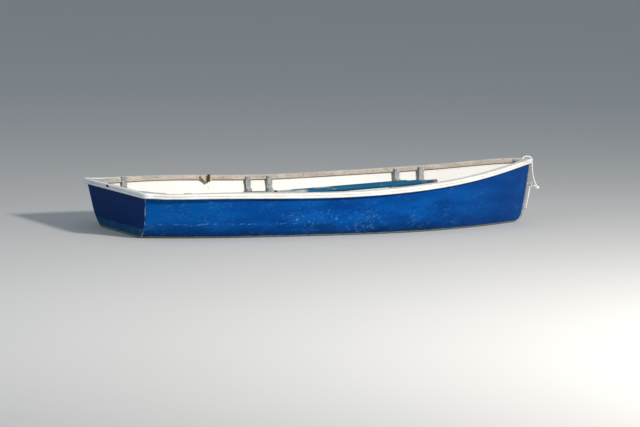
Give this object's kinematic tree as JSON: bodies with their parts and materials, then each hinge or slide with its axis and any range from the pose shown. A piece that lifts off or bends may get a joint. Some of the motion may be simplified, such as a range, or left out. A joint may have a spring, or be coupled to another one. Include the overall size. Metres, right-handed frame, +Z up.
{
  "type": "rowing boat",
  "caption": "Open rowing boat with a moulded shell, guard round the gunwale, three seats on standing knees, rowlock pads, bow eye and stowed oars.",
  "frame": {"origin": "on the centreline amidships, at the waterline", "axes": "+X towards the bow, +Y to port, +Z up"},
  "size_m": [3.6126, 1.37, 0.6613],
  "materials": {
    "hull_paint": "bright blue enamel on laminate, scuffed and chalky below",
    "keel_paint": "dark blue bottom paint on wood",
    "band_metal": "dull worn metal strip",
    "guard_canvas": "weathered off-white canvas",
    "gunwale_wood": "bare weathered hardwood, pinkish tan",
    "seat_wood": "bare weathered planks",
    "interior_paint": "white paint, satin",
    "knee_wood": "grey weathered hardwood",
    "board_paint": "worn pale grey deck paint",
    "pad_wood": "pale bare hardwood",
    "bronze": "dark tarnished bronze",
    "oar_paint": "blue paint on wood, bare brown grips",
    "bow_metal": "galvanised metal",
    "rope_fibre": "laid rope, sun-bleached"
  },
  "bodies": {
    "root": {"hull_shell": "hull_paint", "keel": "keel_paint", "stem_band": "band_metal", "guard_port": "guard_canvas", "guard_starboard": "guard_canvas", "guard_stern": "guard_canvas", "inwale_port": "gunwale_wood", "inwale_starboard": "gunwale_wood", "transom_rail": "gunwale_wood", "breasthook": "gunwale_wood", "quarter_knee_port": "gunwale_wood", "quarter_knee_starboard": "gunwale_wood", "stern_seat": "seat_wood", "stern_seat_bearer_port": "interior_paint", "stern_seat_bearer_starboard": "interior_paint", "middle_thwart": "seat_wood", "middle_thwart_bearer_port": "interior_paint", "middle_thwart_bearer_starboard": "interior_paint", "forward_thwart": "seat_wood", "forward_thwart_bearer_port": "interior_paint", "forward_thwart_bearer_starboard": "interior_paint", "stern_seat_knee_port": "knee_wood", "stern_seat_knee_starboard": "knee_wood", "middle_thwart_knee_1_port": "knee_wood", "middle_thwart_knee_1_starboard": "knee_wood", "middle_thwart_knee_2_port": "knee_wood", "middle_thwart_knee_2_starboard": "knee_wood", "forward_thwart_knee_1_port": "knee_wood", "forward_thwart_knee_1_starboard": "knee_wood", "forward_thwart_knee_2_port": "knee_wood", "forward_thwart_knee_2_starboard": "knee_wood", "thwart_post": "interior_paint", "bottom_board_1": "board_paint", "bottom_board_2": "board_paint", "bottom_board_3": "board_paint", "bottom_board_4": "board_paint", "bottom_board_5": "board_paint", "floor_1": "board_paint", "floor_2": "board_paint", "floor_3": "board_paint", "rowlock_pad_port": "pad_wood", "rowlock_socket_port": "bronze", "rowlock_pad_starboard": "pad_wood", "rowlock_socket_starboard": "bronze", "oar_1": "oar_paint", "oar_2": "oar_paint", "bow_eye": "bow_metal", "bow_ring": "bow_metal", "rope_line": "rope_fibre", "rope_knot": "rope_fibre", "rope_hitch": "rope_fibre", "rope_tail": "rope_fibre", "rope_stopper": "rope_fibre"}
  },
  "joints": []
}
